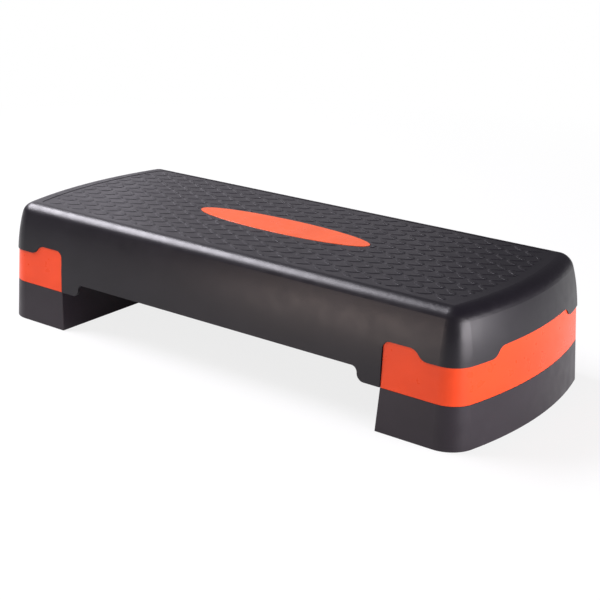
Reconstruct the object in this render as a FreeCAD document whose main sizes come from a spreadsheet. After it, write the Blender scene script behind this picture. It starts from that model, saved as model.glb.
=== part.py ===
import FreeCAD, Part
import math
import os

import Sketcher

# Driving dimensions: alias, value in millimetres or degrees, meaning.
SIZES = (
    ("overall_length", 710, "length over the feet at the floor"),
    ("overall_width", 286, "width over the feet at the floor"),
    ("overall_height", 150, "floor to the top of the deck, feet on"),
    ("riser_height", 50, "floor to the seam between foot and collar"),
    ("end_bow", 22, "how far the ends bow out from their corners"),
    ("corner_radius", 33, "corner radius in plan at the floor"),
    ("leg_length", 118.5, "length of a foot at the floor"),
    ("leg_draft", 3.75, "lean of the outer walls of feet and collars"),
    ("inboard_draft", 3.4, "lean of the wall of a foot that faces the other foot"),
    ("inboard_radius", 1, "plan radius of the inboard corners of feet and collars"),
    ("deck_overhang", 0.5, "how far the deck ears stand out over the seam"),
    ("deck_draft", 1.5, "lean of the deck walls at their lower edge"),
    ("deck_lean", 12, "extra inward curve of the deck walls up to the top"),
    ("side_shoulder", 15.5, "rounding of the top edge along the sides of the deck"),
    ("end_shoulder", 19, "rounding of the top edge across its ends"),
    ("tread_depth", 0.45, "tread field below the rim of the deck"),
    ("field_side", 29, "edge of the tread field from the floor outline, at the sides"),
    ("field_end", 39, "edge of the tread field from the floor outline, at the ends"),
    ("field_corner", 14, "corner radius of the tread field"),
    ("deck_wall", 3, "side wall of the deck"),
    ("deck_top", 3.5, "top wall of the deck"),
    ("skirt_lift", 16, "skirt edge above the seam, between the legs"),
    ("ear_width", 29.5, "deck ear beside each leg"),
    ("ear_round", 9, "lower rounding of an ear"),
    ("deck_corner", 59, "deck at the corners, top to lower edge"),
    ("tab_rise", 11, "raised tabs of the collar above the band"),
    ("tab_length", 33, "flat length of a side tab"),
    ("tab_round", 9, "inboard top corner of a side tab"),
    ("step_run", 22, "run of the curved step from tab to band"),
    ("end_tab_width", 134, "flat width of the tab on each end"),
    ("rim_gap", 0.4, "gap between deck edge and collar edge"),
    ("fit_gap", 0.4, "clearance of one moulding inside another"),
    ("seam_gap", 0.4, "gap between collar and foot at the seam"),
    ("rib_thickness", 2.5, "ribs under deck, collars and feet"),
    ("rib_pitch", 64, "spacing of the deck's cross ribs"),
    ("long_rib_pitch", 68, "spacing of the lengthwise ribs"),
    ("deck_rib_depth", 20, "deck ribs below the top wall"),
    ("collar_wall", 2.6, "collar tongue behind the deck wall"),
    ("collar_web", 3, "plate that closes the collar at the top"),
    ("tongue_height", 21, "collar above the band, inside the deck"),
    ("collar_rib_depth", 14, "collar ribs below the web"),
    ("foot_wall", 3, "side wall of a foot"),
    ("foot_plate", 4, "top plate of a foot"),
    ("foot_rib_depth", 42, "foot ribs below the plate"),
    ("foot_clear", 0.5, "foot wall above the floor"),
    ("spigot_height", 10, "rim of a foot that plugs up into the collar"),
    ("spigot_wall", 2.5, "wall of that rim"),
    ("pad_radius", 9.5, "rubber pad"),
    ("pad_thickness", 3.5, "rubber pad"),
    ("pad_edge", 0.8, "bevel round the tread face of a pad"),
    ("stem_radius", 5, "stem of a pad"),
    ("stem_length", 6, "stem of a pad"),
    ("stem_gap", 0.1, "clearance round and above a stem"),
    ("column_radius", 12, "column that holds a pad"),
    ("dimple_depth", 1.5, "dimples in the top of a foot for the collar pads"),
    ("pad_inboard", 24, "pad centre from the inboard wall"),
    ("pad_outboard", 38, "pad centre from the end"),
    ("pad_side", 35, "pad centre from the side"),
    ("screw_spread", 34, "screws either side of the middle"),
    ("boss_radius", 5.5, "screw boss of the deck"),
    ("head_radius", 4, "screw head"),
    ("head_height", 2.5, "screw head"),
    ("shank_radius", 1.95, "screw shank"),
    ("shank_length", 14, "screw shank"),
    ("tip_length", 3, "point of a screw"),
    ("bore_gap", 0.1, "boss bore round a shank"),
    ("hole_gap", 0.5, "web hole round a shank"),
    ("inlay_length", 254, "oval inlay"),
    ("inlay_width", 55, "oval inlay"),
    ("inlay_thickness", 1.6, "oval inlay"),
    ("inlay_gap", 0.5, "gap round the inlay"),
    ("inlay_drop", 0.1, "inlay face below the deck face"),
    ("inlay_edge", 0.4, "rounding of the inlay's upper edge"),
    ("peg_radius", 2, "peg under the inlay"),
    ("peg_length", 6, "peg under the inlay"),
    ("peg_gap", 0.15, "clearance round a peg"),
    ("cut_overrun", 5, "how far a cut runs past the wall it opens"),
)

# Heights of the sections that shape the deck wall, from its lower edge to its top.
DECK_SECTION_SHARES = (0, 0.4, 0.7, 1)
# Pegs along the inlay, as shares of its half length.
PEG_SHARES = (-0.8, -0.3, 0.3, 0.8)
# Flat face of a screw head, as a share of its radius.
HEAD_FACE_SHARE = 0.7
# Two points closer in height than this are on one level.
SAME_HEIGHT = 1e-3
RIGHT_ANGLE = 90
FULL_TURN = 360
ON_HEIGHT = FreeCAD.Rotation()
ON_FRONT = FreeCAD.Rotation(FreeCAD.Vector(1, 0, 0), RIGHT_ANGLE)
ON_END = FreeCAD.Rotation(
    FreeCAD.Vector(0, 1, 0), FreeCAD.Vector(0, 0, 1), FreeCAD.Vector(1, 0, 0), "ZXY")

doc = FreeCAD.newDocument("aerobic_step")
sheet = doc.addObject("Spreadsheet::Sheet", "sizes")
for row, (alias, number, meaning) in enumerate(SIZES, 1):
    sheet.set(f"A{row}", meaning)
    sheet.set(f"B{row}", str(number))
    sheet.setAlias(f"B{row}", alias)
doc.recompute()


def number_of(expression):
    """The value of an expression over the sheet, as a plain number."""
    return float(sheet.evalExpression(expression))


def bind(thing, **expressions):
    """Bind properties to the sheet. A place is given as at_x, at_y or at_z."""
    for name, expression in expressions.items():
        path = f"Placement.Base.{name[-1]}" if name.startswith("at_") else name
        thing.setExpression(path, expression)
    return thing


# Heights and lengths that follow from the driving dimensions, as expressions.
HALF_LENGTH = "(sizes.overall_length / 2)"
HALF_WIDTH = "(sizes.overall_width / 2)"
TOP = "sizes.overall_height"
SEAM = "sizes.riser_height"
DECK_RISE = f"({TOP} - {SEAM})"
RIM = f"({TOP} - sizes.deck_corner)"
TAB = f"({RIM} + sizes.tab_rise)"
SKIRT = f"({SEAM} + sizes.skirt_lift)"
WEB_TOP = f"({RIM} + sizes.tongue_height)"
WEB_UNDER = f"({WEB_TOP} - sizes.collar_web)"
FOOT_TOP = f"({SEAM} - sizes.seam_gap)"
FOOT_UNDER = f"({FOOT_TOP} - sizes.foot_plate)"
DIMPLE_FLOOR = f"({FOOT_TOP} - sizes.dimple_depth)"
DECK_UNDER = f"({TOP} - sizes.deck_top)"
INLAY_TOP = f"({TOP} - sizes.inlay_drop)"
INLAY_UNDER = f"({INLAY_TOP} - sizes.inlay_thickness)"
END_RADIUS = f"((pow({HALF_WIDTH}; 2) + pow(sizes.end_bow; 2)) / (2 * sizes.end_bow))"


def foot_inboard(height):
    """Where the inboard face of a foot stands at a height."""
    return f"({HALF_LENGTH} - sizes.leg_length + ({height}) * tan(sizes.inboard_draft))"


LEG_INBOARD = foot_inboard(SEAM)
COLLAR_INBOARD = f"({LEG_INBOARD} + sizes.rim_gap)"


def leg_inset(height):
    """Inset of the outer face of feet and collars from the floor outline."""
    return f"((({height}) - sizes.foot_clear) * tan(sizes.leg_draft))"


def deck_inset(height):
    """Inset of the deck's outer face: a draft that curves in towards the top."""
    rise = f"(({height}) - {SEAM})"
    return (f"({leg_inset(SEAM)} - sizes.deck_overhang + {rise} * tan(sizes.deck_draft)"
            f" + sizes.deck_lean * pow({rise} / {DECK_RISE}; 3))")


def tongue_inset(height):
    """Outer face of the collar tongue, straight between seam and web, clear of the deck wall."""
    low = deck_inset(SEAM)
    high = deck_inset(WEB_TOP)
    share = f"((({height}) - {SEAM}) / ({WEB_TOP} - {SEAM}))"
    return f"({low} + ({high} - {low}) * {share} + sizes.deck_wall + sizes.fit_gap)"


def collar_hollow_inset(height):
    """Inner face of the collar tongue."""
    return f"({tongue_inset(height)} + sizes.collar_wall)"


def spigot_inset(height):
    """Outer face of the foot's rim inside the collar."""
    return f"({collar_hollow_inset(height)} + sizes.fit_gap)"


def collar_inboard(height):
    """Inboard face of the collar, upright."""
    return COLLAR_INBOARD


def collar_hollow_inboard(height):
    """Inboard wall of the collar, from inside."""
    return f"({collar_inboard(height)} + sizes.collar_wall)"


def spigot_inboard(height):
    """Inboard face of the foot's rim inside the collar."""
    return f"({collar_hollow_inboard(height)} + sizes.fit_gap)"


def new_sketch(name, rotation):
    """A sketch in one of the three main directions."""
    sketch = doc.addObject("Sketcher::SketchObject", name)
    sketch.Placement = FreeCAD.Placement(FreeCAD.Vector(), rotation)
    return sketch


def dimension(sketch, name, expression, kind, *where):
    """A named sketch dimension, bound to the sheet."""
    index = sketch.addConstraint(Sketcher.Constraint(kind, *where, number_of(expression)))
    sketch.renameConstraint(index, name)
    sketch.setExpression(f"Constraints.{name}", expression)


def chain(sketch, joints):
    """Join consecutive edges end to start, tangent or only coincident."""
    count = len(joints)
    for index, kind in enumerate(joints):
        after = (index + 1) % count
        sketch.addConstraint(Sketcher.Constraint(kind, index, 2, after, 1))


def arc(centre, radius, start, end):
    """A counter-clockwise arc between two angles in radians."""
    circle = Part.Circle(FreeCAD.Vector(*centre, 0), FreeCAD.Vector(0, 0, 1), radius)
    return Part.ArcOfCircle(circle, start, end)


def line(start, end):
    """A straight edge."""
    return Part.LineSegment(FreeCAD.Vector(*start, 0), FreeCAD.Vector(*end, 0))


def end_arcs(inset, trim, corner_radius):
    """Sizes of a bowed end at an inset: half width, arc radius, centre, corner radius and centre."""
    width = number_of(f"{HALF_WIDTH} - {inset}")
    radius = number_of(f"{END_RADIUS} - {inset}")
    centre = number_of(f"{HALF_LENGTH} - {END_RADIUS} - {trim}")
    corner = number_of(corner_radius)
    side = width - corner
    along = centre + math.sqrt((radius - corner) ** 2 - side ** 2)
    return width, radius, centre, corner, (along, side)


def bind_end(sketch, inset, trim, corner_radius, ends, corners, sides):
    """Dimension bowed ends, their corners and the two long sides of an outline."""
    centre = f"{END_RADIUS} - {HALF_LENGTH} + {trim}"
    for index, geometry in enumerate(ends):
        toward = (geometry, 3, -1, 1) if index == 0 else (-1, 1, geometry, 3)
        sketch.addConstraint(Sketcher.Constraint("PointOnObject", geometry, 3, -1))
        dimension(sketch, f"end_centre_{index}", centre, "DistanceX", *toward)
    sketch.addConstraint([Sketcher.Constraint("Equal", ends[0], other) for other in ends[1:]])
    sketch.addConstraint([Sketcher.Constraint("Equal", corners[0], other) for other in corners[1:]])
    dimension(sketch, "end_radius", f"{END_RADIUS} - {inset}", "Radius", ends[0])
    dimension(sketch, "corner", corner_radius, "Radius", corners[0])
    front, rear = sides
    for side in sides:
        sketch.addConstraint(Sketcher.Constraint("Horizontal", side))
    dimension(sketch, "front", f"{HALF_WIDTH} - {inset}", "DistanceY", front, 1, -1, 1)
    dimension(sketch, "rear", f"{HALF_WIDTH} - {inset}", "DistanceY", -1, 1, rear, 1)


def deck_outline(name, height, inset, trim="0", corner_radius=None):
    """The whole plan outline at a height: straight sides, bowed ends set in by a trim, round corners."""
    corner_radius = corner_radius or f"sizes.corner_radius - {inset}"
    width, radius, centre, corner, (along, side) = end_arcs(inset, trim, corner_radius)
    turn = math.atan2(side, along - centre)
    quarter = math.pi / 2
    sketch = new_sketch(name, ON_HEIGHT)
    sketch.addGeometry([
        line((-along, -width), (along, -width)),
        arc((along, -side), corner, -quarter, -turn),
        arc((centre, 0), radius, -turn, turn),
        arc((along, side), corner, turn, quarter),
        line((along, width), (-along, width)),
        arc((-along, side), corner, quarter, math.pi - turn),
        arc((-centre, 0), radius, math.pi - turn, math.pi + turn),
        arc((-along, -side), corner, math.pi + turn, 3 * quarter),
    ])
    chain(sketch, ["Tangent"] * 8)
    bind_end(sketch, inset, trim, corner_radius, (2, 6), (1, 3, 5, 7), (0, 4))
    return bind(sketch, at_z=height)


def leg_outline(name, height, inset, inboard, inboard_corner):
    """The plan outline of the right leg at a height, closed by a straight inboard edge."""
    corner_radius = f"sizes.corner_radius - {inset}"
    width, radius, centre, corner, (along, side) = end_arcs(inset, "0", corner_radius)
    turn = math.atan2(side, along - centre)
    quarter = math.pi / 2
    face = number_of(inboard)
    small = number_of(inboard_corner)
    sketch = new_sketch(name, ON_HEIGHT)
    sketch.addGeometry([
        line((face + small, -width), (along, -width)),
        arc((along, -side), corner, -quarter, -turn),
        arc((centre, 0), radius, -turn, turn),
        arc((along, side), corner, turn, quarter),
        line((along, width), (face + small, width)),
        arc((face + small, width - small), small, quarter, math.pi),
        line((face, width - small), (face, small - width)),
        arc((face + small, small - width), small, math.pi, 3 * quarter),
    ])
    chain(sketch, ["Tangent"] * 8)
    bind_end(sketch, inset, "0", corner_radius, (2,), (1, 3), (0, 4))
    sketch.addConstraint(Sketcher.Constraint("Vertical", 6))
    sketch.addConstraint(Sketcher.Constraint("Equal", 5, 7))
    dimension(sketch, "inboard_corner", inboard_corner, "Radius", 5)
    dimension(sketch, "inboard", inboard, "DistanceX", -1, 1, 6, 1)
    return bind(sketch, at_z=height)


def loft(name, sections, ruled=True):
    """A solid through outlines at rising heights."""
    solid = doc.addObject("Part::Loft", name)
    solid.Sections = sections
    solid.Solid = True
    solid.Ruled = ruled
    doc.recompute()
    return solid


def leg_loft(name, low, high, inset, inboard, inboard_corner="sizes.inboard_radius"):
    """A leg solid between two heights. Inset and inboard face are functions of the height."""
    ends = zip(("low", "high"), (low, high))
    return loft(name, [
        leg_outline(f"{name}_{which}", height, inset(height), inboard(height), inboard_corner)
        for which, height in ends])


def prism(name, sketch, length):
    """A sketch carried equally to both sides."""
    solid = doc.addObject("Part::Extrusion", name)
    solid.Base = sketch
    solid.DirMode = "Normal"
    solid.Solid = True
    solid.Symmetric = True
    return bind(solid, LengthFwd=length)


def box(name, size, place):
    """A block from its three sizes and its low corner."""
    block = doc.addObject("Part::Box", name)
    bind(block, **dict(zip(("Length", "Width", "Height"), size)))
    return bind(block, **dict(zip(("at_x", "at_y", "at_z"), place)))


def rod(name, radius, low, high, centre):
    """An upright cylinder between two heights."""
    cylinder = doc.addObject("Part::Cylinder", name)
    bind(cylinder, Radius=radius, Height=f"({high}) - ({low})")
    return bind(cylinder, at_x=centre[0], at_y=centre[1], at_z=low)


def join(name, pieces):
    """One solid from several."""
    union = doc.addObject("Part::MultiFuse", name)
    union.Shapes = pieces
    return union


def cut(name, base, tool):
    """A solid less another."""
    rest = doc.addObject("Part::Cut", name)
    rest.Base = base
    rest.Tool = tool
    return rest


def overlap(name, pieces):
    """What several solids share."""
    common = doc.addObject("Part::MultiCommon", name)
    common.Shapes = pieces
    return common


def mirror(name, source):
    """The same piece at the left end."""
    copy = doc.addObject("Part::Mirroring", name)
    copy.Source = source
    copy.Normal = FreeCAD.Vector(1, 0, 0)
    return copy


def round_top(name, base, height, side_radius, end_radius):
    """Round the top edges of a solid: one radius along the sides, another across the ends."""
    level = number_of(height)
    side = number_of(side_radius)
    end = number_of(end_radius)
    flat = max(base.Shape.Faces, key=lambda face: face.CenterOfMass.z)
    edges = []
    for index, edge in enumerate(base.Shape.Edges, 1):
        first, last = edge.Vertexes[0].Point, edge.Vertexes[-1].Point
        if not all(math.isclose(point.z, level, abs_tol=SAME_HEIGHT) for point in (first, last)):
            continue
        on_side = [math.isclose(abs(point.y), flat.BoundBox.YMax, abs_tol=SAME_HEIGHT)
                   for point in (first, last)]
        edges.append((index, *[side if here else end for here in on_side]))
    rounded = doc.addObject("Part::Fillet", name)
    rounded.Base = base
    rounded.Edges = edges
    doc.recompute()
    return rounded


def rib_grid(name, low, cross_places, long_places, reach):
    """Upright ribs from a height to the top: across at some places in X, along at others in Y."""
    thick = "sizes.rib_thickness"
    tall = f"{TOP} - ({low})"
    low_x, high_x = reach
    ribs = [box(f"{name}_cross_{index}", (thick, "sizes.overall_width", tall),
                (f"({place}) - {thick} / 2", f"-{HALF_WIDTH}", low))
            for index, place in enumerate(cross_places)]
    ribs += [box(f"{name}_long_{index}", (f"({high_x}) - ({low_x})", thick, tall),
                 (low_x, f"({place}) - {thick} / 2", low))
             for index, place in enumerate(long_places)]
    return join(name, ribs)


def step_arcs(run, rise, lower_radius):
    """Radii and turn of two arcs that step down by a rise over a run, level at both ends."""
    turn = 2 * math.atan2(rise, run)
    lower = number_of(lower_radius)
    return run / math.sin(turn) - lower, lower, turn


def join_edges(sketch, kind, joints):
    """Join pairs of edge ends, each given as edge, end, edge, end."""
    sketch.addConstraint([Sketcher.Constraint(kind, *ends) for ends in joints])


def arch(name, rotation, span, heights, lower_radius):
    """A symmetric opening: flat top, a curved step down to each side, then straight down."""
    half_top, half_low = span
    top, edge, bottom = heights
    inner, outer, high, mid, low = [number_of(size) for size in (*span, *heights)]
    upper_radius, radius, turn = step_arcs(outer - inner, high - mid, lower_radius)
    quarter = math.pi / 2
    sketch = new_sketch(name, rotation)
    sketch.addGeometry([
        line((-outer, low), (outer, low)),
        line((outer, low), (outer, mid)),
        arc((outer, mid + radius), radius, 3 * quarter - turn, 3 * quarter),
        arc((inner, high - upper_radius), upper_radius, quarter - turn, quarter),
        line((inner, high), (-inner, high)),
        arc((-inner, high - upper_radius), upper_radius, quarter, quarter + turn),
        arc((-outer, mid + radius), radius, 3 * quarter, 3 * quarter + turn),
        line((-outer, mid), (-outer, low)),
    ])
    join_edges(sketch, "Coincident", ((0, 2, 1, 1), (1, 2, 2, 2), (6, 1, 7, 1), (7, 2, 0, 1)))
    join_edges(sketch, "Tangent", ((2, 1, 3, 1), (3, 2, 4, 1), (4, 2, 5, 1), (5, 2, 6, 2)))
    join_edges(sketch, "Horizontal", ((0,), (4,)))
    join_edges(sketch, "Vertical", ((1,), (7,), (2, 3, 2, 2), (6, 3, 6, 1)))
    join_edges(sketch, "Equal", ((2, 6),))
    dimension(sketch, "lower_radius", lower_radius, "Radius", 2)
    dimension(sketch, "top", top, "DistanceY", -1, 1, 4, 1)
    dimension(sketch, "bottom", bottom, "DistanceY", -1, 1, 0, 1)
    dimension(sketch, "edge_right", edge, "DistanceY", -1, 1, 2, 2)
    dimension(sketch, "edge_left", edge, "DistanceY", -1, 1, 6, 1)
    dimension(sketch, "top_right", half_top, "DistanceX", -1, 1, 4, 1)
    dimension(sketch, "top_left", half_top, "DistanceX", 4, 2, -1, 1)
    dimension(sketch, "low_right", half_low, "DistanceX", -1, 1, 0, 2)
    dimension(sketch, "low_left", half_low, "DistanceX", 0, 1, -1, 1)
    return sketch


def leg_edge(name, gap):
    """Side view of the deck's lower edge over the right leg: tab, curved step down, band."""
    tab_end = f"({LEG_INBOARD} + sizes.tab_length)"
    step_end = f"({tab_end} + sizes.step_run)"
    far = f"({HALF_LENGTH} + sizes.cut_overrun)"
    low = f"({SEAM} - sizes.cut_overrun)"
    tab = f"({TAB} - {gap})"
    rim = f"({RIM} - {gap})"
    inner, outer, end, face = [number_of(size) for size in (tab_end, step_end, far, LEG_INBOARD)]
    high, mid, bottom, small = [number_of(size) for size in (tab, rim, low, "sizes.tab_round")]
    upper_radius, radius, turn = step_arcs(outer - inner, high - mid, STEP_RADIUS)
    quarter = math.pi / 2
    sketch = new_sketch(name, ON_FRONT)
    sketch.addGeometry([
        line((end, mid), (outer, mid)),
        arc((outer, mid + radius), radius, 3 * quarter - turn, 3 * quarter),
        arc((inner, high - upper_radius), upper_radius, quarter - turn, quarter),
        line((inner, high), (face + small, high)),
        arc((face + small, high - small), small, quarter, math.pi),
        line((face, high - small), (face, bottom)),
        line((face, bottom), (end, bottom)),
        line((end, bottom), (end, mid)),
    ])
    join_edges(sketch, "Tangent", ((0, 2, 1, 2), (1, 1, 2, 1), (2, 2, 3, 1), (3, 2, 4, 1), (4, 2, 5, 1)))
    join_edges(sketch, "Coincident", ((5, 2, 6, 1), (6, 2, 7, 1), (7, 2, 0, 1)))
    join_edges(sketch, "Horizontal", ((0,), (3,), (6,)))
    join_edges(sketch, "Vertical", ((5,), (7,)))
    dimension(sketch, "tab_round", "sizes.tab_round", "Radius", 4)
    dimension(sketch, "lower_radius", STEP_RADIUS, "Radius", 1)
    dimension(sketch, "rim", rim, "DistanceY", -1, 1, 0, 2)
    dimension(sketch, "tab", tab, "DistanceY", -1, 1, 3, 1)
    dimension(sketch, "low", low, "DistanceY", -1, 1, 6, 1)
    dimension(sketch, "inboard", LEG_INBOARD, "DistanceX", -1, 1, 5, 1)
    dimension(sketch, "far", far, "DistanceX", -1, 1, 7, 1)
    dimension(sketch, "tab_end", tab_end, "DistanceX", -1, 1, 3, 1)
    dimension(sketch, "step_end", step_end, "DistanceX", -1, 1, 0, 2)
    return sketch


def collar_line(name, gap):
    """Everything below the stepped line where deck and right collar meet."""
    side = prism(f"{name}_side", leg_edge(f"{name}_side_view", gap), "2 * sizes.overall_width")
    half_top = "(sizes.end_tab_width / 2)"
    span = (half_top, f"({half_top} + sizes.step_run)")
    heights = (f"{TAB} - {gap}", f"{RIM} - {gap}", f"{RIM} - sizes.cut_overrun")
    view = arch(f"{name}_end_view", ON_END, span, heights, STEP_RADIUS)
    end = prism(f"{name}_end", view, "2 * sizes.overall_length")
    return side, end


# Radius of each arc of the curved step between tab and band.
STEP_RADIUS = "((pow(sizes.step_run; 2) + pow(sizes.tab_rise; 2)) / (4 * sizes.tab_rise))"
# Places of the pads, the screws and the ribs over a leg.
PAD_X = {
    "inner": f"({LEG_INBOARD} + sizes.pad_inboard)",
    "outer": f"({HALF_LENGTH} - sizes.pad_outboard)",
}
PAD_Y = {"front": f"(sizes.pad_side - {HALF_WIDTH})", "rear": f"({HALF_WIDTH} - sizes.pad_side)"}
PAD_PLACES = {f"{side}_{end}": (x, y) for side, y in PAD_Y.items() for end, x in PAD_X.items()}
SCREW_PLACES = [(x, f"{sign}sizes.screw_spread") for x in PAD_X.values() for sign in ("-", "")]
LEG_MIDDLE = f"(({PAD_X['inner']} + {PAD_X['outer']}) / 2)"
LONG_RIBS = ("-sizes.long_rib_pitch", "0", "sizes.long_rib_pitch")
LEG_REACH = (LEG_INBOARD, HALF_LENGTH)


def build_deck():
    """The deck: a curved shell with a stepped lower edge, ribs and screw bosses."""
    heights = [f"({SEAM} + {DECK_RISE} * {share})" for share in DECK_SECTION_SHARES]
    outer = loft("deck_form", [deck_outline(f"deck_section_{index}", height, deck_inset(height))
                               for index, height in enumerate(heights)], ruled=False)
    outer = round_top("deck_rounded", outer, TOP, "sizes.side_shoulder", "sizes.end_shoulder")

    heights[0] = f"({SEAM} - sizes.cut_overrun)"
    heights[-1] = DECK_UNDER
    space = loft("deck_space", [
        deck_outline(f"deck_space_{index}", height, f"({deck_inset(height)} + sizes.deck_wall)")
        for index, height in enumerate(heights)], ruled=False)
    space = round_top("deck_space_rounded", space, DECK_UNDER,
                      "sizes.side_shoulder - sizes.deck_wall", "sizes.end_shoulder - sizes.deck_wall")
    count = int(number_of(f"({HALF_LENGTH} - sizes.corner_radius) / sizes.rib_pitch"))
    cross = [f"{index} * sizes.rib_pitch" for index in range(-count, count + 1)]
    ribs = rib_grid("deck_ribs", f"{DECK_UNDER} - sizes.deck_rib_depth", cross, LONG_RIBS,
                    (f"-{HALF_LENGTH}", HALF_LENGTH))
    shell = cut("deck_shell", outer, cut("deck_hollow", space, ribs))

    boss_places = [(f"{end}{x}", y) for x, y in SCREW_PLACES for end in ("-", "")]
    boss_end = f"{TOP} - sizes.deck_top / 2"
    bosses = [rod(f"deck_boss_{index}", "sizes.boss_radius", WEB_TOP, boss_end, place)
              for index, place in enumerate(boss_places)]
    bores = [rod(f"deck_bore_{index}", "sizes.shank_radius + sizes.bore_gap", WEB_TOP,
                 f"{WEB_TOP} + sizes.shank_length", place)
             for index, place in enumerate(boss_places)]

    ear = f"({LEG_INBOARD} - sizes.ear_width)"
    span = (f"({ear} - sizes.skirt_lift + sizes.ear_round)", f"({ear} + sizes.ear_round)")
    skirt = arch("skirt_view", ON_FRONT, span, (SKIRT, SEAM, f"{SEAM} - sizes.cut_overrun"),
                 "sizes.ear_round")
    tunnel = prism("deck_tunnel", skirt, "2 * sizes.overall_width")
    side, end = collar_line("deck_line", "0")
    field_heights = (f"({TOP} - sizes.tread_depth)", f"({TOP} + sizes.cut_overrun)")
    field_trim = "(sizes.field_end - sizes.field_side)"
    field = loft("deck_field", [
        deck_outline(f"deck_field_{index}", height, "sizes.field_side", field_trim, "sizes.field_corner")
        for index, height in enumerate(field_heights)])
    oval = inlay_plate("deck_recess", "sizes.inlay_gap", INLAY_UNDER, f"{TOP} + sizes.cut_overrun")
    holes = inlay_pegs("deck_peg_hole", "sizes.peg_gap", TOP)
    cutters = join("deck_cutters", [
        tunnel, side, mirror("deck_line_left", side), end, field, oval, *holes, *bores])
    return cut("deck", join("deck_moulding", [shell, *bosses]), cutters)


def inlay_plate(name, gap, low, high):
    """An oval plate between two heights, grown by a gap."""
    edge = doc.addObject("Part::Ellipse", f"{name}_edge")
    bind(edge, MajorRadius=f"sizes.inlay_length / 2 + {gap}")
    bind(edge, MinorRadius=f"sizes.inlay_width / 2 + {gap}", at_z=low)
    plate = doc.addObject("Part::Extrusion", name)
    plate.Base = edge
    plate.DirMode = "Custom"
    plate.Dir = FreeCAD.Vector(0, 0, 1)
    plate.Solid = True
    return bind(plate, LengthFwd=f"({high}) - ({low})")


def inlay_pegs(name, gap, high):
    """The pegs under the inlay, grown by a gap, from their lower ends to a height."""
    return [rod(f"{name}_{index}", f"sizes.peg_radius + {gap}", f"{INLAY_UNDER} - sizes.peg_length", high,
                (f"sizes.inlay_length / 2 * {share}", "0"))
            for index, share in enumerate(PEG_SHARES)]


def build_inlay():
    """The oval inlay with its pegs."""
    plate = inlay_plate("inlay_plate", "0", INLAY_UNDER, INLAY_TOP)
    doc.recompute()
    soft = round_top("inlay_soft", plate, INLAY_TOP, "sizes.inlay_edge", "sizes.inlay_edge")
    pegs = inlay_pegs("inlay_peg", "0", f"{INLAY_UNDER} + sizes.inlay_thickness / 2")
    return join("deck_inlay", [soft, *pegs])


def pad_columns(name, low, high):
    """Columns for the four pads of a leg, and the sockets for the pads' stems."""
    columns = []
    sockets = []
    for corner, place in PAD_PLACES.items():
        columns.append(rod(f"{name}_column_{corner}", "sizes.column_radius", low, high, place))
        sockets.append(rod(f"{name}_socket_{corner}", "sizes.stem_radius + sizes.stem_gap", low,
                           f"{low} + sizes.stem_length + sizes.stem_gap", place))
    return columns, sockets


def build_collar():
    """The right collar: a band under the deck edge and a tongue that fills the deck above it."""
    side, end = collar_line("collar_line", "sizes.rim_gap")
    block = leg_loft("collar_block", SEAM, TAB, leg_inset, collar_inboard)
    band = overlap("collar_band", [block, join("collar_below", [side, end])])
    tongue = leg_loft("collar_tongue", SEAM, WEB_TOP, tongue_inset, collar_inboard)

    space = leg_loft("collar_space", f"({SEAM} - sizes.cut_overrun)", WEB_UNDER, collar_hollow_inset,
                     collar_hollow_inboard)
    ribs = rib_grid("collar_ribs", f"{WEB_UNDER} - sizes.collar_rib_depth", (LEG_MIDDLE,), LONG_RIBS,
                    LEG_REACH)
    tray = cut("collar_tray", join("collar_outer", [band, tongue]), cut("collar_hollow", space, ribs))
    columns, sockets = pad_columns("collar", f"({DIMPLE_FLOOR} + sizes.pad_thickness)",
                                   f"{WEB_TOP} - sizes.collar_web / 2")
    holes = [rod(f"collar_hole_{index}", "sizes.shank_radius + sizes.hole_gap",
                 f"{WEB_UNDER} - sizes.cut_overrun", f"{WEB_TOP} + sizes.cut_overrun", place)
             for index, place in enumerate(SCREW_PLACES)]
    return cut("right_collar", join("collar_moulding", [tray, *columns]),
               join("collar_drilling", [*sockets, *holes]))


def build_foot():
    """The right foot: an open-bottomed riser with a rim that plugs up into the collar."""
    outer = leg_loft("foot_form", "sizes.foot_clear", FOOT_TOP, leg_inset, foot_inboard)
    space = leg_loft("foot_space", "-sizes.cut_overrun", FOOT_UNDER,
                     lambda height: f"({leg_inset(height)} + sizes.foot_wall)",
                     lambda height: f"({foot_inboard(height)} + sizes.foot_wall)")
    ribs = rib_grid("foot_ribs", f"{FOOT_UNDER} - sizes.foot_rib_depth", (LEG_MIDDLE,), LONG_RIBS,
                    LEG_REACH)
    tray = cut("foot_tray", outer, cut("foot_hollow", space, ribs))

    rim_low = f"({FOOT_TOP} - sizes.foot_plate / 2)"
    rim_high = f"({SEAM} + sizes.spigot_height)"
    rim = leg_loft("foot_rim", rim_low, rim_high, spigot_inset, spigot_inboard)
    rim_space = leg_loft("foot_rim_space", FOOT_TOP, f"({rim_high} + sizes.cut_overrun)",
                         lambda height: f"({spigot_inset(height)} + sizes.spigot_wall)",
                         lambda height: f"({spigot_inboard(height)} + sizes.spigot_wall)")
    columns, sockets = pad_columns("foot", "sizes.pad_thickness", f"{FOOT_TOP} - sizes.foot_plate / 2")
    dimples = [
        rod(f"foot_dimple_{corner}", "sizes.pad_radius + sizes.fit_gap", DIMPLE_FLOOR, rim_high, place)
        for corner, place in PAD_PLACES.items()]
    return cut("right_foot", join("foot_moulding", [tray, cut("foot_spigot", rim, rim_space), *columns]),
               join("foot_drilling", [*sockets, *dimples]))


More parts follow.
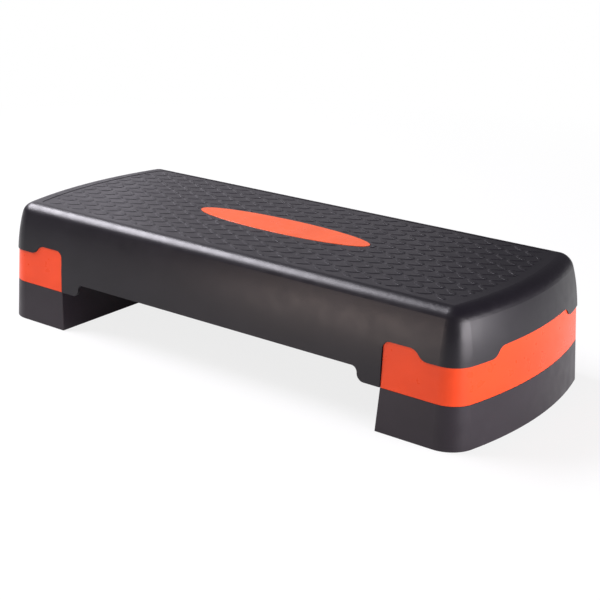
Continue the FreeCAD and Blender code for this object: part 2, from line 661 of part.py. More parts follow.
def turned(name, points, place):
    """A body turned about its upright axis from a half profile, points as radius and height."""
    body = doc.addObject("PartDesign::Body", name)
    sketch = body.newObject("Sketcher::SketchObject", f"{name}_profile")
    plane = next(thing for thing in body.Origin.OriginFeatures if thing.Role == "XZ_Plane")
    sketch.AttachmentSupport = [(plane, "")]
    sketch.MapMode = "FlatFace"
    corners = [tuple(number_of(size) for size in point) for point in points]
    count = len(corners)
    sketch.addGeometry([line(corners[index], corners[(index + 1) % count]) for index in range(count)])
    join_edges(sketch, "Coincident", [(index, 2, (index + 1) % count, 1) for index in range(count)])
    for index, (radius, height) in enumerate(points):
        for axis, size, kind in (("radius", radius, "DistanceX"), ("height", height, "DistanceY")):
            dimension(sketch, f"{axis}_{index}", size, kind, -1, 1, index, 1)
    revolution = body.newObject("PartDesign::Revolution", f"{name}_turned")
    revolution.Profile = sketch
    revolution.ReferenceAxis = (sketch, ["V_Axis"])
    revolution.Angle = FULL_TURN
    return bind(body, **dict(zip(("at_x", "at_y", "at_z"), place)))


def build_pad(name, place):
    """A rubber pad with a bevelled tread face and a stem."""
    wide = "sizes.pad_radius"
    thick = "sizes.pad_thickness"
    return turned(name, (
        ("0", "0"), (f"{wide} - sizes.pad_edge", "0"), (wide, "sizes.pad_edge"), (wide, thick),
        ("sizes.stem_radius", thick), ("sizes.stem_radius", f"{thick} + sizes.stem_length"),
        ("0", f"{thick} + sizes.stem_length")), place)


def build_screw(name, place):
    """A pan-head screw, head down, its head seated at the body's origin."""
    shank = "sizes.shank_radius"
    end = "(sizes.collar_web + sizes.shank_length - sizes.bore_gap)"
    return turned(name, (
        ("0", "-sizes.head_height"), (f"sizes.head_radius * {HEAD_FACE_SHARE}", "-sizes.head_height"),
        ("sizes.head_radius", "-sizes.head_height / 2"), ("sizes.head_radius", "0"), (shank, "0"),
        (shank, f"{end} - sizes.tip_length"), ("0", end)), place)


nodes = {"deck": build_deck(), "deck_inlay": build_inlay()}
nodes["right_collar"] = build_collar()
nodes["right_foot"] = build_foot()
for piece in ("collar", "foot"):
    nodes[f"left_{piece}"] = mirror(f"left_{piece}", nodes[f"right_{piece}"])
for end, sign in (("left", "-"), ("right", "")):
    for corner, (x, y) in PAD_PLACES.items():
        nodes[f"{end}_foot_pad_{corner}"] = build_pad(f"{end}_foot_pad_{corner}", (sign + x, y, "0"))
        nodes[f"{end}_collar_pad_{corner}"] = build_pad(
            f"{end}_collar_pad_{corner}", (sign + x, y, DIMPLE_FLOOR))
    screws = doc.addObject("Part::Compound", f"{end}_collar_screws")
    screws.Links = [build_screw(f"{end}_screw_{index}", (sign + x, y, WEB_UNDER))
                    for index, (x, y) in enumerate(SCREW_PLACES)]
    nodes[f"{end}_collar_screws"] = screws
doc.recompute()

for thing in doc.Objects:
    faults = {"Invalid", "Error"} & set(thing.State)
    if faults:
        raise RuntimeError(f"{thing.Label}: {faults}")
os.makedirs("parts", exist_ok=True)
for node, thing in nodes.items():
    thing.Label = node
    if thing.Shape.isNull() or not thing.Shape.isValid():
        raise RuntimeError(f"{node}: bad shape")
    thing.Shape.exportStep(f"parts/{node}.step")
    bounds = thing.Shape.BoundBox
    print(node, len(thing.Shape.Solids), round(thing.Shape.Volume), bounds)
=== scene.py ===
import logging
import math
from abc import ABC, abstractmethod
from dataclasses import dataclass, replace
from enum import Enum
from itertools import product

import bpy
import numpy as np
from mathutils import Matrix, Vector


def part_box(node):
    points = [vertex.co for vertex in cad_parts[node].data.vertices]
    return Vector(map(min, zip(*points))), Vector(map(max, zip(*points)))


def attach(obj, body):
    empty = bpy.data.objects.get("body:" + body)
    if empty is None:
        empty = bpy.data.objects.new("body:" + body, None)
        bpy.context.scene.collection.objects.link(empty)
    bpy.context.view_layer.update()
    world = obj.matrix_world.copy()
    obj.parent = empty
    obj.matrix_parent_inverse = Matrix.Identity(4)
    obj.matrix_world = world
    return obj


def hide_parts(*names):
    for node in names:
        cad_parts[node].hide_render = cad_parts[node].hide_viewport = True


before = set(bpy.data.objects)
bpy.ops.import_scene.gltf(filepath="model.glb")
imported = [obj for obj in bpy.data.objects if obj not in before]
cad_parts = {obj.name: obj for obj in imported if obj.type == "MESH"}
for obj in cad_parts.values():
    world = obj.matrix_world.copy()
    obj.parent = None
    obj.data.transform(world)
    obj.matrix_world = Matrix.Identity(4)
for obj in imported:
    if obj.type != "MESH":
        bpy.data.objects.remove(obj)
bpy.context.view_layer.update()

MM = 0.001
FULL_TURN = 2.0 * np.pi
UP = Vector((0.0, 0.0, 1.0))
LOG = logging.getLogger("aerobic_step")

Triple = tuple[float, float, float]
Colour = Triple
Span = tuple[float, float]
Socket = bpy.types.NodeSocket

DECK_NODE = "deck"
INLAY_NODE = "deck_inlay"
UNIT_SPAN: Span = (0.0, 1.0)
NOISE_SPAN: Span = (0.3, 0.7)


class Body(Enum):
    """The rigid bodies that pieces ride on."""

    PLATFORM = "platform"
    LEFT_FOOT = "left_foot"
    RIGHT_FOOT = "right_foot"


class End(Enum):
    """The two ends of the step."""

    LEFT = "left"
    RIGHT = "right"

    @property
    def foot_body(self) -> Body:
        """Body of the foot at this end."""
        return Body(f"{self.value}_foot")


class Holder(Enum):
    """What a rubber pad is pushed into."""

    FOOT = "foot"
    COLLAR = "collar"


class Side(Enum):
    """The two long sides of the step."""

    FRONT = "front"
    REAR = "rear"


class Row(Enum):
    """The two rows of pads at an end, towards the middle of the step and away from it."""

    INNER = "inner"
    OUTER = "outer"


class Slot(Enum):
    """The record's material slots."""

    DECK = "deck_plastic"
    ACCENT = "accent_plastic"
    FOOT = "foot_plastic"
    RUBBER = "rubber"
    STEEL = "screw_steel"


@dataclass(frozen=True)
class Cloud:
    """Noise with features of about a given size, and octaves of finer noise on them."""

    size_mm: float
    detail: float


@dataclass(frozen=True)
class Relief:
    """A fine bumpy surface: its cloud, its depth and how much of it shows."""

    cloud: Cloud
    depth_mm: float
    strength: float


class NodeGraph:
    """A procedural material under construction."""

    def __init__(self, name: str) -> None:
        """Start a material with a Principled shader.

        Args:
            name: Name of the material.
        """
        self.material = bpy.data.materials.new(name)
        self.material.use_nodes = True
        self.tree = self.material.node_tree
        self.shader = self.tree.nodes["Principled BSDF"]
        self.coordinates = self.add("ShaderNodeTexCoord").outputs["Object"]

    def add(self, kind: str, **settings: object) -> bpy.types.Node:
        """Add a node.

        Args:
            kind: Blender's type name of the node.
            **settings: Properties of the node.

        Returns:
            The new node.
        """
        node = self.tree.nodes.new(kind)
        for key, value in settings.items():
            setattr(node, key, value)
        return node

    def link(self, source: Socket, target: Socket) -> None:
        """Join an output to an input."""
        self.tree.links.new(source, target)

    def feed(self, source: Socket, name: str) -> None:
        """Join an output to an input of the shader."""
        self.link(source, self.shader.inputs[name])

    def set(self, **values: float | tuple[float, ...]) -> None:
        """Set constant sockets of the shader, their names with _ for a space."""
        for key, value in values.items():
            self.shader.inputs[key.replace("_", " ")].default_value = value

    def combine(self, operation: str, first: Socket, second: Socket) -> Socket:
        """One number from two.

        Args:
            operation: Blender's name of the sum to do.
            first: First number.
            second: Second number.

        Returns:
            The result.
        """
        node = self.add("ShaderNodeMath", operation=operation)
        self.link(first, node.inputs[0])
        self.link(second, node.inputs[1])
        return node.outputs["Value"]

    def stretched(self, scale: Triple) -> Socket:
        """Object coordinates scaled along each axis.

        Args:
            scale: Scale along X, Y and Z.

        Returns:
            The new coordinates.
        """
        mapping = self.add("ShaderNodeMapping")
        mapping.inputs["Scale"].default_value = scale
        self.link(self.coordinates, mapping.inputs["Vector"])
        return mapping.outputs["Vector"]

    def length(self, vector: Socket) -> Socket:
        """How long a vector is.

        Args:
            vector: The vector to measure.

        Returns:
            Its length.
        """
        node = self.add("ShaderNodeVectorMath", operation="LENGTH")
        self.link(vector, node.inputs["Vector"])
        return node.outputs["Value"]

    def noise(self, cloud: Cloud, vector: Socket | None = None) -> Socket:
        """A cloud over the surface.

        Args:
            cloud: Size and detail.
            vector: Coordinates to read, Object coordinates if none.

        Returns:
            The noise value, about 0 to 1.
        """
        node = self.add("ShaderNodeTexNoise")
        node.inputs["Scale"].default_value = 1.0 / (cloud.size_mm * MM)
        node.inputs["Detail"].default_value = cloud.detail
        self.link(vector or self.coordinates, node.inputs["Vector"])
        return node.outputs["Fac"]

    def spread(self, value: Socket, target: Span, source: Span = NOISE_SPAN) -> Socket:
        """Carry a value from one range to another.

        Args:
            value: The value to carry over.
            target: Results at the low and the high end of the source range.
            source: Range of the value.

        Returns:
            The new value.
        """
        node = self.add("ShaderNodeMapRange")
        for name, number in zip(("From Min", "From Max", "To Min", "To Max"), (*source, *target)):
            node.inputs[name].default_value = number
        self.link(value, node.inputs["Value"])
        return node.outputs["Result"]

    def blend(self, share: Socket, first: Colour, second: Colour) -> Socket:
        """A colour between two.

        Args:
            share: Share of the second colour.
            first: Colour at a share of 0.
            second: Colour at a share of 1.

        Returns:
            The blended colour.
        """
        node = self.add("ShaderNodeMix", data_type="RGBA")
        ends = (socket for socket in node.inputs if socket.type == "RGBA")
        for socket, colour in zip(ends, (first, second)):
            socket.default_value = (*colour, 1.0)
        self.link(share, node.inputs["Factor"])
        return next(socket for socket in node.outputs if socket.type == "RGBA")

    def bump(self, relief: Relief) -> Socket:
        """Normals of a fine relief.

        Args:
            relief: The relief to show.

        Returns:
            The new normal.
        """
        node = self.add("ShaderNodeBump")
        node.inputs["Strength"].default_value = relief.strength
        node.inputs["Distance"].default_value = relief.depth_mm * MM
        self.link(self.noise(relief.cloud), node.inputs["Height"])
        return node.outputs["Normal"]


@dataclass(frozen=True)
class Finish(ABC):
    """A finish whose tone and polish drift with clouds, over a fine relief."""

    name: str
    dark: Colour
    light: Colour
    polish: Span
    relief: Relief

    @abstractmethod
    def clouds(self, graph: NodeGraph) -> tuple[Socket, Socket]:
        """The clouds that the tone and the polish follow.

        Args:
            graph: Material under construction.

        Returns:
            Noise for the tone and noise for the polish.
        """

    @abstractmethod
    def constants(self) -> dict[str, float]:
        """Shader values that are the same all over, their names with _ for a space."""

    def build(self) -> bpy.types.Material:
        """Make the material.

        Returns:
            A material that runs from dark to light, and over its range of roughness, as its clouds do.
        """
        graph = NodeGraph(self.name)
        tone, shine = self.clouds(graph)
        graph.feed(graph.blend(graph.spread(tone, UNIT_SPAN), self.dark, self.light), "Base Color")
        graph.feed(graph.spread(shine, self.polish), "Roughness")
        graph.feed(graph.bump(self.relief), "Normal")
        graph.set(**self.constants())
        return graph.material


@dataclass(frozen=True)
class MouldedPlastic(Finish):
    """Satin injection moulding: spark-eroded grain, faint drawn-out flow marks, uneven polish."""

    reflection: float
    flow: Cloud = Cloud(size_mm=55.0, detail=3.0)
    flow_stretch: Triple = (1.0, 0.45, 1.6)
    wear: Cloud = Cloud(size_mm=16.5, detail=4.0)

    def clouds(self, graph: NodeGraph) -> tuple[Socket, Socket]:
        """Flow marks for the tone and wear for the polish."""
        return graph.noise(self.flow, graph.stretched(self.flow_stretch)), graph.noise(self.wear)

    def constants(self) -> dict[str, float]:
        """How much the plastic reflects."""
        return {"Specular_IOR_Level": self.reflection}


@dataclass(frozen=True)
class Rubber(Finish):
    """Matt black rubber with a fine dusty bloom and pores."""

    reflection: float
    bloom: Cloud = Cloud(size_mm=6.0, detail=4.0)

    def clouds(self, graph: NodeGraph) -> tuple[Socket, Socket]:
        """One bloom for tone and polish."""
        bloom = graph.noise(self.bloom)
        return bloom, bloom

    def constants(self) -> dict[str, float]:
        """How much the rubber reflects."""
        return {"Specular_IOR_Level": self.reflection}


@dataclass(frozen=True)
class PlatedSteel(Finish):
    """Zinc-plated steel with a slightly uneven plating."""

    plating: Cloud = Cloud(size_mm=1.6, detail=3.0)

    def clouds(self, graph: NodeGraph) -> tuple[Socket, Socket]:
        """One cloud of the plating for tone and polish."""
        plating = graph.noise(self.plating)
        return plating, plating

    def constants(self) -> dict[str, float]:
        """Bare metal."""
        return {"Metallic": 1.0}


SPARK_GRAIN = Relief(Cloud(size_mm=0.9, detail=1.5), depth_mm=0.05, strength=0.35)
RUBBER_PORES = Relief(Cloud(size_mm=0.5, detail=2.0), depth_mm=0.05, strength=0.4)
PLATING_GRAIN = Relief(Cloud(size_mm=0.35, detail=2.0), depth_mm=0.02, strength=0.3)

FINISHES: dict[Slot, Finish] = {
    Slot.DECK: MouldedPlastic(
        "black_moulding", dark=(0.0046, 0.0036, 0.0060), light=(0.0068, 0.0056, 0.0086),
        polish=(0.33, 0.40), relief=SPARK_GRAIN, reflection=0.30),
    Slot.ACCENT: MouldedPlastic(
        "orange_moulding", dark=(0.535, 0.040, 0.0050), light=(0.595, 0.048, 0.0070),
        polish=(0.26, 0.34), relief=replace(SPARK_GRAIN, strength=0.05), reflection=0.24),
    Slot.FOOT: MouldedPlastic(
        "foot_moulding", dark=(0.0112, 0.0078, 0.0116), light=(0.0146, 0.0104, 0.0150),
        polish=(0.34, 0.43), relief=replace(SPARK_GRAIN, strength=0.5), reflection=0.30),
    Slot.RUBBER: Rubber(
        "pad_rubber", dark=(0.012, 0.012, 0.013), light=(0.035, 0.034, 0.034),
        polish=(0.62, 0.82), relief=RUBBER_PORES, reflection=0.35),
    Slot.STEEL: PlatedSteel(
        "screw_plating", dark=(0.50, 0.50, 0.49), light=(0.66, 0.67, 0.69),
        polish=(0.24, 0.42), relief=PLATING_GRAIN),
}
# Painted sheen: the inlay's orange is lighter than the collars' to stand for the sheen its flat top catches
# from the lamps.
INLAY_SHEEN_FINISH = MouldedPlastic(
    "orange_insert_painted_sheen", dark=(0.565, 0.067, 0.008), light=(0.625, 0.079, 0.011),
    polish=(0.26, 0.34), relief=replace(SPARK_GRAIN, strength=0.2), reflection=0.22)


class Palette:
    """The materials of the step: one per slot, and the inlay's lighter orange, which paints sheen on its
    flat top.
    """

    def __init__(self) -> None:
        """Make each material once."""
        self.materials = {slot: finish.build() for slot, finish in FINISHES.items()}
        self.inlay = INLAY_SHEEN_FINISH.build()


def node_box(node: str) -> tuple[np.ndarray, np.ndarray]:
    """Lowest and highest corner of a CAD node, in millimetres."""
    low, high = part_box(node)
    return np.array(low) / MM, np.array(high) / MM


def copied_faces(faces: list[np.ndarray], count: int, stride: int) -> list[np.ndarray]:
    """Faces of several shapes whose points follow each other, from the faces of one.

    Args:
        faces: Blocks of faces of one shape, each block with one number of corners.
        count: How many shapes.
        stride: How many points one shape has.

    Returns:
        The blocks, each with the faces of all the shapes.
    """
    shift = stride * np.arange(count)[:, None, None]
    return [(shift + block).reshape(-1, block.shape[1]) for block in faces]


def ring_faces(rings: int, around: int) -> np.ndarray:
    """Four-cornered faces between closed rings of points that follow each other.

    Args:
        rings: How many rings.
        around: How many points a ring has.

    Returns:
        One row of corners per face, outward where the rings turn left and rise.
    """
    here = np.arange(around)
    after = np.roll(here, -1)
    band = np.stack((here, after, after + around, here + around), axis=1)
    return np.concatenate(copied_faces([band], rings - 1, around))


@dataclass
class Surface:
    """A closed surface: points in millimetres and blocks of faces, outward by the right-hand rule."""

    points: np.ndarray
    faces: list[np.ndarray]

    def repeated(self, centres: np.ndarray) -> "Surface":
        """A copy of the surface at each centre, all as one.

        Args:
            centres: Places, one row each.

        Returns:
            The joined copies.
        """
        points = (centres[:, None, :] + self.points).reshape(-1, 3)
        return Surface(points, copied_faces(self.faces, len(centres), len(self.points)))

    def place(self, name: str, body: Body, slot: Slot, palette: Palette,
              sharp_degrees: float = 35.0) -> bpy.types.Object:
        """Put the surface into the scene as a piece.

        Args:
            name: Name of the piece.
            body: Body that the piece rides on.
            slot: Material slot.
            palette: Materials.
            sharp_degrees: Edges that bend by more than this stay sharp.

        Returns:
            The new object, at the origin.
        """
        mesh = bpy.data.meshes.new(name)
        faces = [face for block in self.faces for face in block.tolist()]
        mesh.from_pydata((self.points * MM).tolist(), [], faces)
        mesh.polygons.foreach_set("use_smooth", np.ones(len(mesh.polygons), dtype=bool))
        mesh.set_sharp_from_angle(angle=math.radians(sharp_degrees))
        mesh.update()
        mesh.materials.append(palette.materials[slot])
        piece = bpy.data.objects.new(name, mesh)
        bpy.context.scene.collection.objects.link(piece)
        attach(piece, body.value)
        LOG.info("%s: %d faces on %s", name, len(mesh.polygons), body.value)
        return piece


def lathe(profile: np.ndarray, segments: int) -> Surface:
    """A closed turned surface.

    Each profile row turns once about the upright axis: x = radius * cos, y = radius * sin. The first and
    last rows lie on the axis and close the surface with fans.

    Args:
        profile: Radius and height rows, from the lower pole round the outside to the upper pole.
        segments: Steps round the axis.

    Returns:
        The surface, its two poles first.
    """
    turn = np.linspace(0.0, FULL_TURN, segments, endpoint=False)
    radius, height = profile[1:-1, :1], profile[1:-1, 1:]
    circles = np.stack(np.broadcast_arrays(radius * np.cos(turn), radius * np.sin(turn), height), axis=-1)
    poles = np.array([(0.0, 0.0, profile[0, 1]), (0.0, 0.0, profile[-1, 1])])
    lowest = len(poles) + np.arange(segments)
    highest = lowest + (len(radius) - 1) * segments
    lower_fan = np.stack((np.zeros_like(lowest), np.roll(lowest, -1), lowest), axis=1)
    upper_fan = np.stack((np.ones_like(highest), highest, np.roll(highest, -1)), axis=1)
    return Surface(np.concatenate((poles, circles.reshape(-1, 3))),
                   [len(poles) + ring_faces(len(radius), segments), lower_fan, upper_fan])


class Mouldings:
    """The moulded parts whose CAD shapes are kept: deck, inlay, collars and feet."""

    def build(self, palette: Palette) -> None:
        """Give each node its finish.

        Args:
            palette: Materials.
        """
        for end in End:
            self.dress(f"{end.value}_collar", palette.materials[Slot.ACCENT])
            self.dress(f"{end.value}_foot", palette.materials[Slot.FOOT])
        self.dress(DECK_NODE, palette.materials[Slot.DECK])
        # The inlay's lighter orange is painted sheen on its flat top.
        self.dress(INLAY_NODE, palette.inlay)

    @staticmethod
    def dress(node: str, material: bpy.types.Material) -> None:
        """Give a node a material through its slots.

        Args:
            node: Name of the CAD node.
            material: Its new material.
        """
        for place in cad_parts[node].material_slots:
            place.material = material
        LOG.info("%s: kept, in %s", node, material.name)


@dataclass
class Tread:
    """Raised bars of the standing surface, a tread-plate pattern.

    Lengths are in millimetres and angles in degrees.
    """

    half_columns: int = 17
    half_rows: int = 12
    pitch_x: float = 19.65
    pitch_y: float = 10.73
    lean: float = 28.6
    bar_half: float = 9.3
    bar_wide: float = 3.2
    border: float = 0.4
    field_depth: float = 0.45
    field_half_width: float = 114.0
    field_end: float = 316.0
    end_radius: float = 446.75
    inlay_margin: float = 3.1
    shortest: float = 7.5
    full_half: float = 6.0
    ring_rise_shares: tuple[float, ...] = (-0.15, 0.12, 1.0)
    ring_trims: tuple[float, ...] = (-0.1, 0.06, 2.1)
    rim_points: int = 14
    samples: int = 61
    sharp_degrees: float = 8.0

    def inside(self, x: np.ndarray, y: np.ndarray) -> np.ndarray:
        """Where points lie in the tread field, clear of its border and of the inlay.

        Args:
            x: Places along the deck.
            y: Places across it.

        Returns:
            True inside the bowed ends and straight sides, less a margin, and off the inlay's grown oval.
        """
        margin = self.border + self.bar_wide
        centre = self.field_end - self.end_radius
        in_ends = np.hypot(np.abs(x) - centre, y) < self.end_radius - margin
        in_sides = np.abs(y) < self.field_half_width - margin
        low, high = node_box(INLAY_NODE)
        wide, tall = (high - low)[:2] / 2.0 + self.inlay_margin
        off_inlay = (x / wide) ** 2 + (y / tall) ** 2 > 1.0
        return in_ends & in_sides & off_inlay

    def bars(self) -> tuple[np.ndarray, np.ndarray, np.ndarray, np.ndarray]:
        """Bars on a checkerboard grid, leaning left and right in turn, cut where they leave the field.

        Returns:
            Middle X, middle Y, half length and angle of each bar.
        """
        columns = np.arange(-self.half_columns, self.half_columns)
        rows = np.arange(-self.half_rows, self.half_rows)
        column, row = (index.ravel() for index in np.meshgrid(columns, rows, indexing="ij"))
        angle = np.radians(np.where((column + row) % 2 == 0, -self.lean, self.lean))
        cell_x = (column + 0.5) * self.pitch_x
        cell_y = (row + 0.5) * self.pitch_y
        along = np.linspace(-self.bar_half, self.bar_half, self.samples)
        good = self.inside(cell_x[:, None] + along * np.cos(angle)[:, None],
                           cell_y[:, None] + along * np.sin(angle)[:, None])
        first = good.argmax(axis=1)
        last = self.samples - 1 - good[:, ::-1].argmax(axis=1)
        unbroken = good.sum(axis=1) == last - first + 1
        half = (along[last] - along[first]) / 2.0
        middle = (along[last] + along[first]) / 2.0
        keep = unbroken & (2.0 * half >= self.shortest)
        return ((cell_x + middle * np.cos(angle))[keep], (cell_y + middle * np.sin(angle))[keep],
                half[keep], angle[keep])

    def build(self, palette: Palette) -> None:
        """Make all the bars as one piece.

        Each bar is three rings of one outline, an ellipse with its long axis on the bar: a foot ring just
        under the field floor, the top of a small steep step, and the edge of the flat crown, level with
        the deck's face. The flank between the last two is straight. Bars cut short are narrowed in
        proportion.

        Args:
            palette: Materials.
        """
        x, y, half, angle = (values[:, None, None] for values in self.bars())
        turn = np.linspace(0.0, FULL_TURN, self.rim_points, endpoint=False)
        trims = np.array(self.ring_trims)[:, None]
        share = np.minimum(half / self.full_half, 1.0)
        u = (half - trims * share) * np.cos(turn)
        v = (self.bar_wide - trims) * share * np.sin(turn)
        face_z = node_box(DECK_NODE)[1][2]
        z = face_z - self.field_depth * (1.0 - np.array(self.ring_rise_shares)[:, None])
        points = np.stack(np.broadcast_arrays(x + u * np.cos(angle) - v * np.sin(angle),
                                              y + u * np.sin(angle) + v * np.cos(angle), z), axis=-1)
        rim = np.arange(self.rim_points)[None]
        crown = rim + (len(trims) - 1) * self.rim_points
        faces = [ring_faces(len(trims), self.rim_points), crown, rim[:, ::-1]]
        stride = len(trims) * self.rim_points
        bars = Surface(points.reshape(-1, 3), copied_faces(faces, len(points), stride))
        bars.place("deck_tread", Body.PLATFORM, Slot.DECK, palette, self.sharp_degrees)


@dataclass
class Pads:
    """Rubber pads under the feet and under the collars, pushed in by a stem. Lengths in millimetres."""

    segments: int = 56
    profile: tuple[Span, ...] = (
        (0.0, 0.55), (2.2, 0.55), (2.7, 0.0), (4.5, 0.0), (4.85, 0.6), (5.55, 0.6), (5.9, 0.0), (8.5, 0.0),
        (9.05, 0.16), (9.38, 0.5), (9.5, 0.95), (9.5, 3.1), (9.38, 3.4), (9.1, 3.5), (5.0, 3.5), (5.0, 9.1),
        (4.85, 9.4), (4.6, 9.5), (0.0, 9.5))

    def build(self, palette: Palette) -> None:
        """Make each pad where its node is, a turned shape with a dimple and a ring groove in its tread face.

        Args:
            palette: Materials.
        """
        pad = lathe(np.array(self.profile), self.segments)
        for end, holder, side, row in product(End, Holder, Side, Row):
            node = f"{end.value}_{holder.value}_pad_{side.value}_{row.value}"
            body = end.foot_body if holder is Holder.FOOT else Body.PLATFORM
            low, high = node_box(node)
            centre = np.append((low + high)[:2] / 2.0, low[2])
            piece = pad.repeated(centre[None]).place(f"{node}_rubber", body, Slot.RUBBER, palette)
            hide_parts(node)


@dataclass
class Screws:
    """Pan-head screws that hold the collars to the deck's bosses, heads down. Lengths in millimetres."""

    head_radius: float = 4.0
    head_height: float = 2.5
    face_radius: float = 2.8
    dome_height: float = 1.25
    shank_radius: float = 1.95
    length: float = 16.9
    tip: float = 3.0
    tip_flat: float = 0.1
    thread_depth: float = 0.38
    thread_pitch: float = 1.35
    thread_start: float = 1.0
    thread_run_in: float = 1.5
    recess_half: Span = (1.9, 0.42)
    recess_soft: Span = (0.25, 0.2)
    recess_depth: float = 1.3
    face_slack: float = 0.01
    face_rows: int = 12
    dome_rows: int = 6
    shank_rows: int = 90
    segments: int = 48

    def profile(self) -> np.ndarray:
        """Outline of a plain screw, its seat at height 0.

        Returns:
            Rows of radius and height: head face, domed edge as a quarter ellipse, seat, shank and point.
        """
        face = np.linspace(0.0, self.face_radius, self.face_rows)
        face_z = np.full_like(face, -self.head_height)
        dome = np.linspace(0.0, np.pi / 2.0, self.dome_rows)[1:]
        dome_radius = self.face_radius + (self.head_radius - self.face_radius) * np.sin(dome)
        dome_z = self.dome_height * (1.0 - np.cos(dome)) - self.head_height
        shank_z = np.linspace(0.0, self.length - self.tip_flat, self.shank_rows)
        shank_radius = self.shank_radius * np.clip((self.length - shank_z) / self.tip, *UNIT_SPAN)
        radius = np.concatenate((face, dome_radius, [self.head_radius], shank_radius, [0.0]))
        height = np.concatenate((face_z, dome_z, [0.0], shank_z, [self.length]))
        return np.stack((radius, height), axis=1)

    def recess(self, x: np.ndarray, y: np.ndarray, z: np.ndarray) -> np.ndarray:
        """How far the cross recess lifts each point of the head's face.

        The depth is full inside either arm of the cross, and falls to nothing across the arm's soft edges.

        Args:
            x: Places of the points along one arm.
            y: Places along the other.
            z: Heights.

        Returns:
            The lift of each point, 0 off the head's face.
        """
        (long_half, short_half), (long_soft, short_soft) = self.recess_half, self.recess_soft
        arms = [np.clip((long_half - np.abs(along)) / long_soft, *UNIT_SPAN)
                * np.clip((short_half - np.abs(across)) / short_soft, *UNIT_SPAN)
                for along, across in ((x, y), (y, x))]
        on_face = z < self.face_slack - self.head_height
        return np.where(on_face, self.recess_depth * np.maximum(*arms), 0.0)

    def shape(self) -> Surface:
        """One screw at the origin.

        The thread takes a share of the shank's radius that falls and rises with height over pitch less turn.
        It runs in above the seat and out along the point.

        Returns:
            The screw's surface.
        """
        screw = lathe(self.profile(), self.segments)
        x, y, z = screw.points.T
        z = z + self.recess(x, y, z)
        phase = z / self.thread_pitch - np.arctan2(y, x) / FULL_TURN
        ridge = np.abs(2.0 * (phase - np.floor(phase)) - 1.0)
        run_in = np.clip((z - self.thread_start) / self.thread_run_in, *UNIT_SPAN)
        run_out = np.clip((self.length - z) / self.tip, *UNIT_SPAN)
        shrink = 1.0 - self.thread_depth / self.shank_radius * ridge * run_in * run_out
        return Surface(np.stack((x * shrink, y * shrink, z), axis=1), screw.faces)

    def build(self, palette: Palette) -> None:
        """Make the four screws of each collar as one piece, in the corners of their node's box.

        Args:
            palette: Materials.
        """
        screw = self.shape()
        for end in End:
            node = f"{end.value}_collar_screws"
            low, high = node_box(node)
            places = zip(low[:2] + self.head_radius, high[:2] - self.head_radius)
            centres = np.array([(*place, low[2] + self.head_height) for place in product(*places)])
            piece = screw.repeated(centres).place(f"{node}_plated", Body.PLATFORM, Slot.STEEL, palette)
            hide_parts(node)


@dataclass(frozen=True)
class SoftPanel:
    """A rectangular soft lamp.

    Azimuth from +X and elevation are in degrees, distance and size in metres, and power in watts.
    """

    name: str
    azimuth: float
    elevation: float
    distance: float
    size: Span
    power: float
    colour: Colour

    def build(self, aim: Vector) -> None:
        """Hang the lamp, facing a point.

        Args:
            aim: The point that it faces and is placed from.
        """
        data = bpy.data.lights.new(self.name, "AREA")
        data.shape = "RECTANGLE"
        data.size, data.size_y = self.size
        data.energy = self.power
        data.color = self.colour
        azimuth, elevation = math.radians(self.azimuth), math.radians(self.elevation)
        arm = Vector((math.cos(azimuth) * math.cos(elevation), math.sin(azimuth) * math.cos(elevation),
                      math.sin(elevation)))
        lamp = bpy.data.objects.new(self.name, data)
        lamp.visible_camera = False
        lamp.location = aim + arm * self.distance
        lamp.rotation_euler = (-arm).to_track_quat("-Z", "Y").to_euler()
        bpy.context.scene.collection.objects.link(lamp)


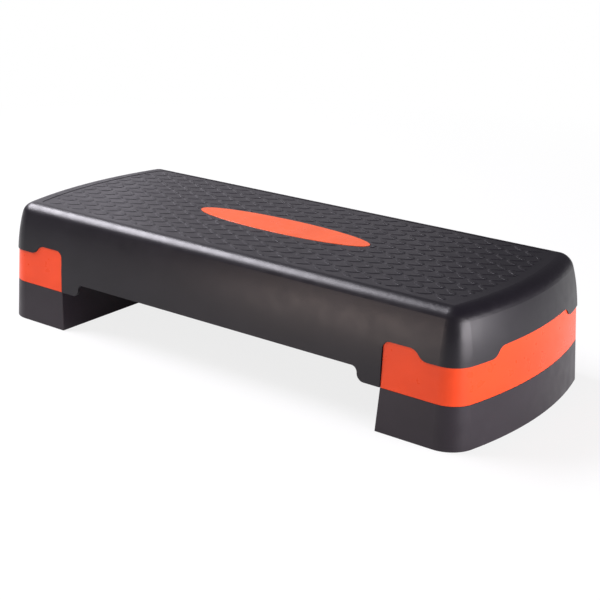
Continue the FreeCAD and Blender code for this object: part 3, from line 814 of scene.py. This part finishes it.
@dataclass
class Studio:
    """Floor, soft light and the camera at the photograph's angle. Lengths in metres, angles in degrees."""

    camera_place: Triple = (0.9238, -1.1880, 0.5840)
    yaw: float = 37.0
    pitch: float = 19.35
    roll: float = -0.79
    lens_mm: float = 77.96
    sensor_mm: float = 36.0
    aim: Triple = (0.0, 0.0, 0.1)
    world_colour: Colour = (0.97, 0.97, 1.0)
    world_strength: float = 0.13
    floor_half: float = 60.0
    floor_colour: Colour = (0.62, 0.62, 0.62)
    floor_roughness: float = 0.9
    glow_shares: Span = (0.82, 1.0)
    glow_reach: Span = (0.5, 1.6)
    # Oval of painted shade under the deck, in the glow that mirrored rays see.
    painted_shade_scale: Triple = (3.4, 6.7, 1.0)
    painted_shade_shares: Span = (0.1, 1.0)
    painted_shade_reach: Span = (1.0, 1.3)
    panels: tuple[SoftPanel, ...] = (
        SoftPanel("key_panel", -168.0, 46.0, 2.8, (1.85, 1.3), 195.0, (0.95, 0.92, 1.0)),
        SoftPanel("window_panel", 151.0, 17.0, 2.8, (1.3, 1.0), 4.1, (0.95, 0.91, 1.0)),
        SoftPanel("fill_panel", 128.0, 19.0, 2.8, (1.2, 1.0), 2.2, (0.97, 0.92, 1.0)),
        SoftPanel("end_panel", -2.0, 5.5, 1.35, (1.15, 0.42), 26.0, (1.0, 0.95, 1.0)),
        SoftPanel("front_panel", -75.0, 42.0, 2.6, (1.8, 1.0), 2.0, (1.0, 0.98, 0.97)),
        SoftPanel("warm_card", -101.0, 0.8, 0.73, (0.42, 0.20), 1.5, (1.0, 0.80, 0.72)))

    def build(self) -> None:
        """Set up the view, the floor, the world and the lamps."""
        bpy.context.scene.view_settings.view_transform = "Standard"
        self.build_camera()
        self.build_world()
        self.build_floor()
        for panel in self.panels:
            panel.build(Vector(self.aim))

    def build_camera(self) -> None:
        """Place the camera from its yaw, pitch and roll."""
        yaw, pitch, roll = (math.radians(angle) for angle in (self.yaw, self.pitch, self.roll))
        forward = Vector((-math.sin(yaw) * math.cos(pitch), math.cos(yaw) * math.cos(pitch),
                          -math.sin(pitch)))
        level = forward.cross(UP).normalized()
        upright = level.cross(forward)
        right = math.cos(roll) * level - math.sin(roll) * upright
        above = math.sin(roll) * level + math.cos(roll) * upright
        data = bpy.data.cameras.new("camera")
        data.lens = self.lens_mm
        data.sensor_width = self.sensor_mm
        camera = bpy.data.objects.new("camera", data)
        turn = Matrix((right, above, -forward)).transposed().to_4x4()
        camera.matrix_world = Matrix.Translation(Vector(self.camera_place)) @ turn
        bpy.context.scene.collection.objects.link(camera)
        bpy.context.scene.camera = camera

    def build_world(self) -> None:
        """Light everything from a dim, even surround."""
        world = bpy.data.worlds.new("studio")
        bpy.context.scene.world = world
        world.use_nodes = True
        light = world.node_tree.nodes["Background"]
        light.inputs["Color"].default_value = (*self.world_colour, 1.0)
        light.inputs["Strength"].default_value = self.world_strength

    def build_floor(self) -> None:
        """Lay a plain pale floor that keeps the step's soft shadow."""
        half = self.floor_half
        mesh = bpy.data.meshes.new("floor")
        corners = [(-half, -half, 0.0), (half, -half, 0.0), (half, half, 0.0), (-half, half, 0.0)]
        mesh.from_pydata(corners, [], [range(len(corners))])
        mesh.materials.append(self.floor_material())
        floor = bpy.data.objects.new("floor", mesh)
        bpy.context.scene.collection.objects.link(floor)

    def floor_material(self) -> bpy.types.Material:
        """Pale paint that glows white on camera, glossy and transmission rays, more so away from the step.

        Mirrored rays see little of the glow inside an oval under the deck: a painted shade in the floor's
        glow, where the real shadow is deep. The painted shade's scale makes that oval a unit circle.

        Returns:
            The floor's material.
        """
        graph = NodeGraph("floor_white")
        graph.set(Base_Color=(*self.floor_colour, 1.0), Roughness=self.floor_roughness,
                  Specular_IOR_Level=0.0)
        fade = graph.spread(graph.length(graph.coordinates), self.glow_shares, self.glow_reach)
        # Painted shadow: the glow that glossy and transmission rays see is dimmed in an oval under the deck.
        scaled = graph.length(graph.stretched(self.painted_shade_scale))
        shade = graph.spread(scaled, self.painted_shade_shares, self.painted_shade_reach)
        rays = graph.add("ShaderNodeLightPath").outputs
        mirrored = graph.combine("MAXIMUM", rays["Is Glossy Ray"], rays["Is Transmission Ray"])
        seen = graph.combine("MAXIMUM", rays["Is Camera Ray"], graph.combine("MULTIPLY", mirrored, shade))
        glow = graph.add("ShaderNodeEmission")
        mix = graph.add("ShaderNodeMixShader")
        sources = (graph.combine("MULTIPLY", seen, fade), graph.shader.outputs["BSDF"],
                   glow.outputs["Emission"])
        for source, target in zip(sources, mix.inputs):
            graph.link(source, target)
        graph.link(mix.outputs["Shader"], graph.tree.nodes["Material Output"].inputs["Surface"])
        return graph.material


def main() -> None:
    """Build the step and its studio."""
    logging.basicConfig(level=logging.INFO, format="%(message)s")
    palette = Palette()
    Mouldings().build(palette)
    Tread().build(palette)
    Pads().build(palette)
    Screws().build(palette)
    Studio().build()


if __name__ == "__main__":
    main()
